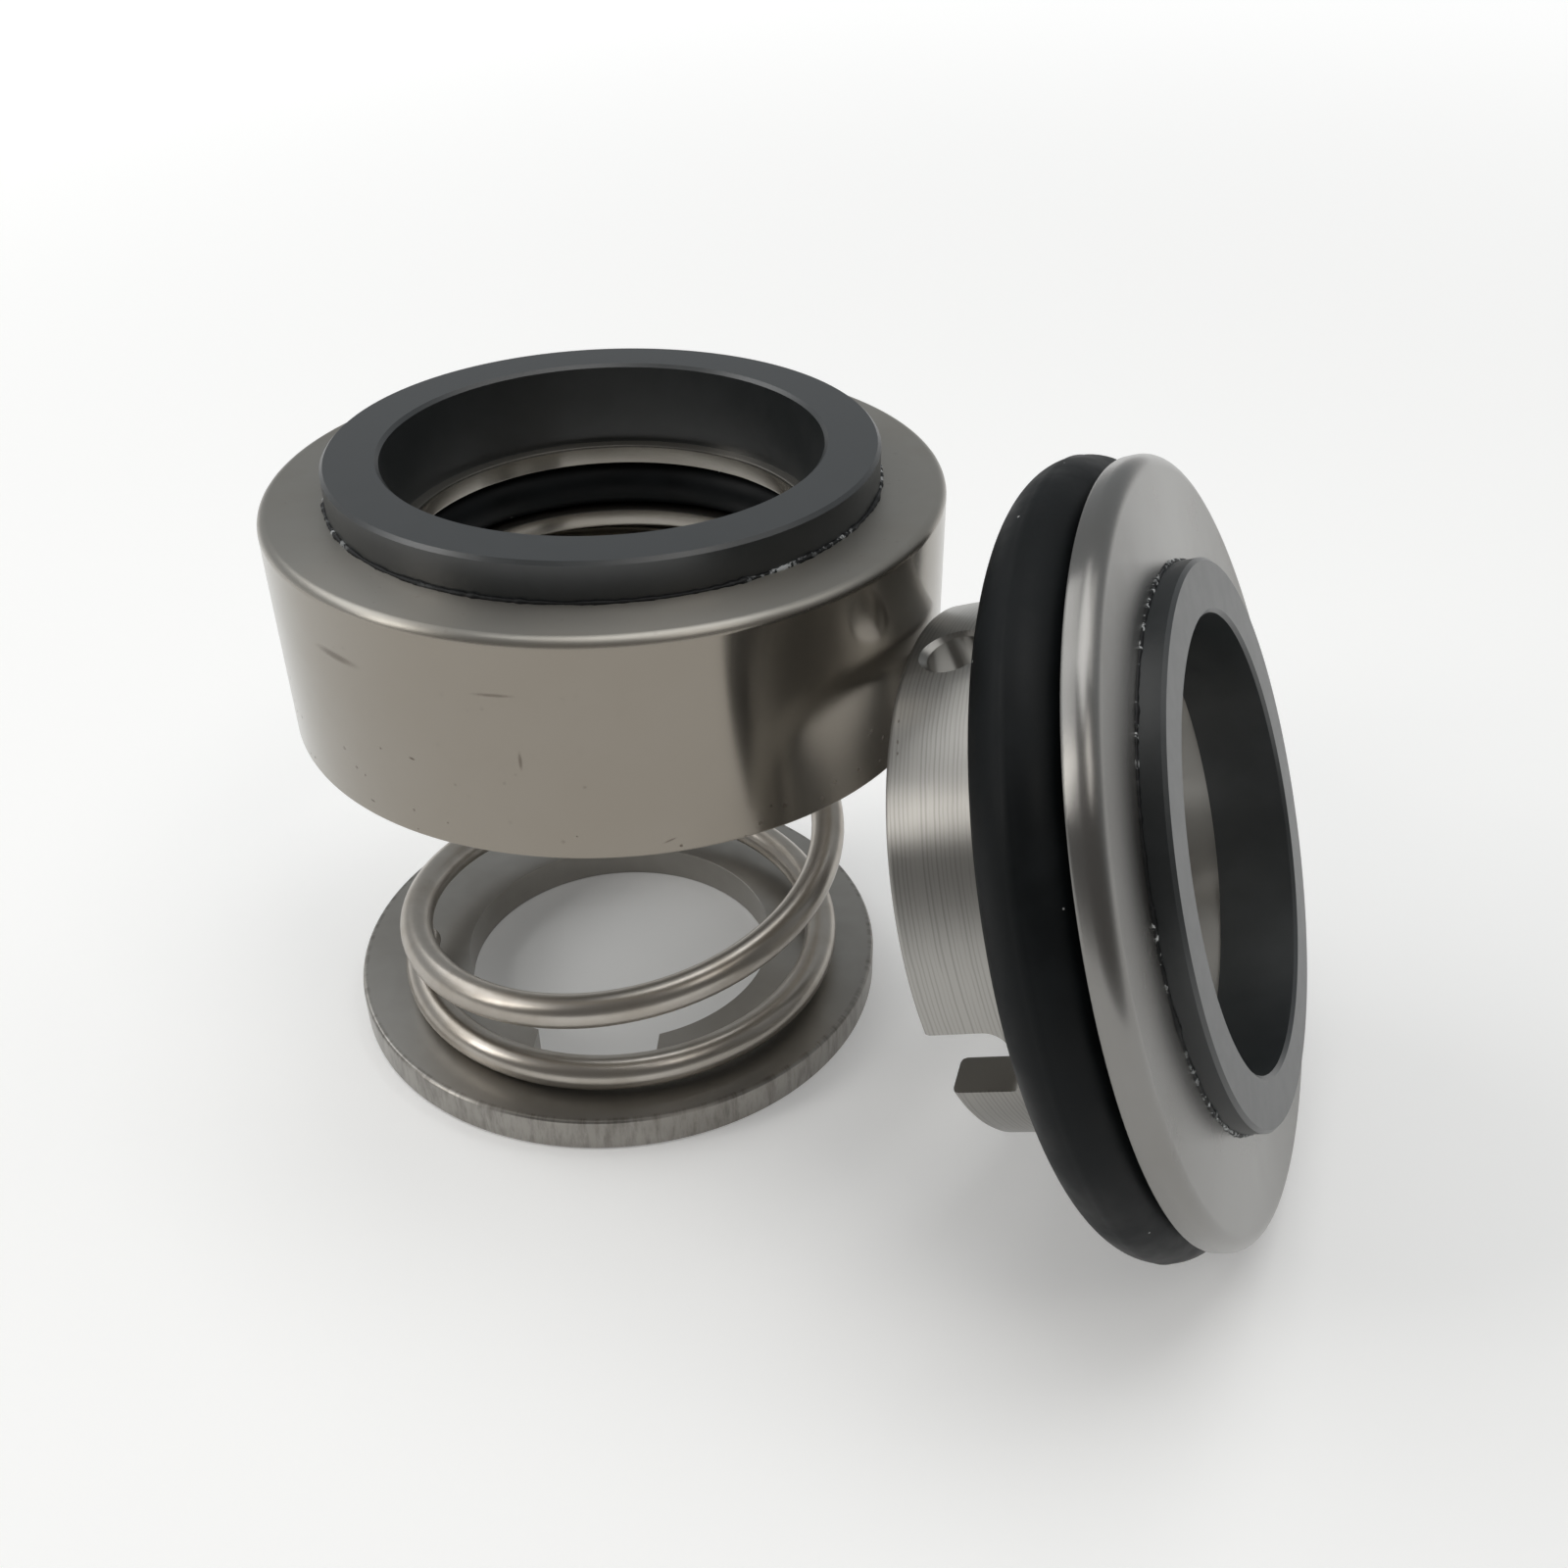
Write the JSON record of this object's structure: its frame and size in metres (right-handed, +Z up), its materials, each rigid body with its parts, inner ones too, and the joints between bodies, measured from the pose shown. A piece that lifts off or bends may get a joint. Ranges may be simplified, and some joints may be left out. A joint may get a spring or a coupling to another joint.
{
  "type": "component mechanical seal",
  "caption": "Sprung rotary unit with a bonded face ring, standing on its spring retainer, and the stationary seat with its rubber ring leaning beside it.",
  "frame": {"origin": "on the axis of the spring retainer, at its base, where it rests", "axes": "+Z up along the retainer's axis, the way from it to the sealing face; +X towards the leaning seat"},
  "size_m": [0.0944, 0.0823, 0.0629],
  "materials": {
    "head_steel": "satin turned",
    "retainer_steel": "dull turned",
    "spring_steel": "drawn wire",
    "carrier_steel": "fine turned",
    "carbide": "lapped, dark grey",
    "rubber": "moulded, matt"
  },
  "bodies": {
    "base": {"spring_retainer": "retainer_steel", "compression_spring": "spring_steel", "seat_carrier": "carrier_steel", "seat_face_ring": "carbide", "seat_oring": "rubber"},
    "head": {"rotary_head": "head_steel", "rotary_face_ring": "carbide", "shaft_oring": "rubber"}
  },
  "joints": [
    {"name": "head_slide", "type": "slide", "parent": "base", "child": "head", "axis": [0, 0, -1], "range_m": [0, 0.008], "stiffness_N_per_m": 8000, "springref_m": -0.0005, "deforming": ["compression_spring"]}
  ]
}
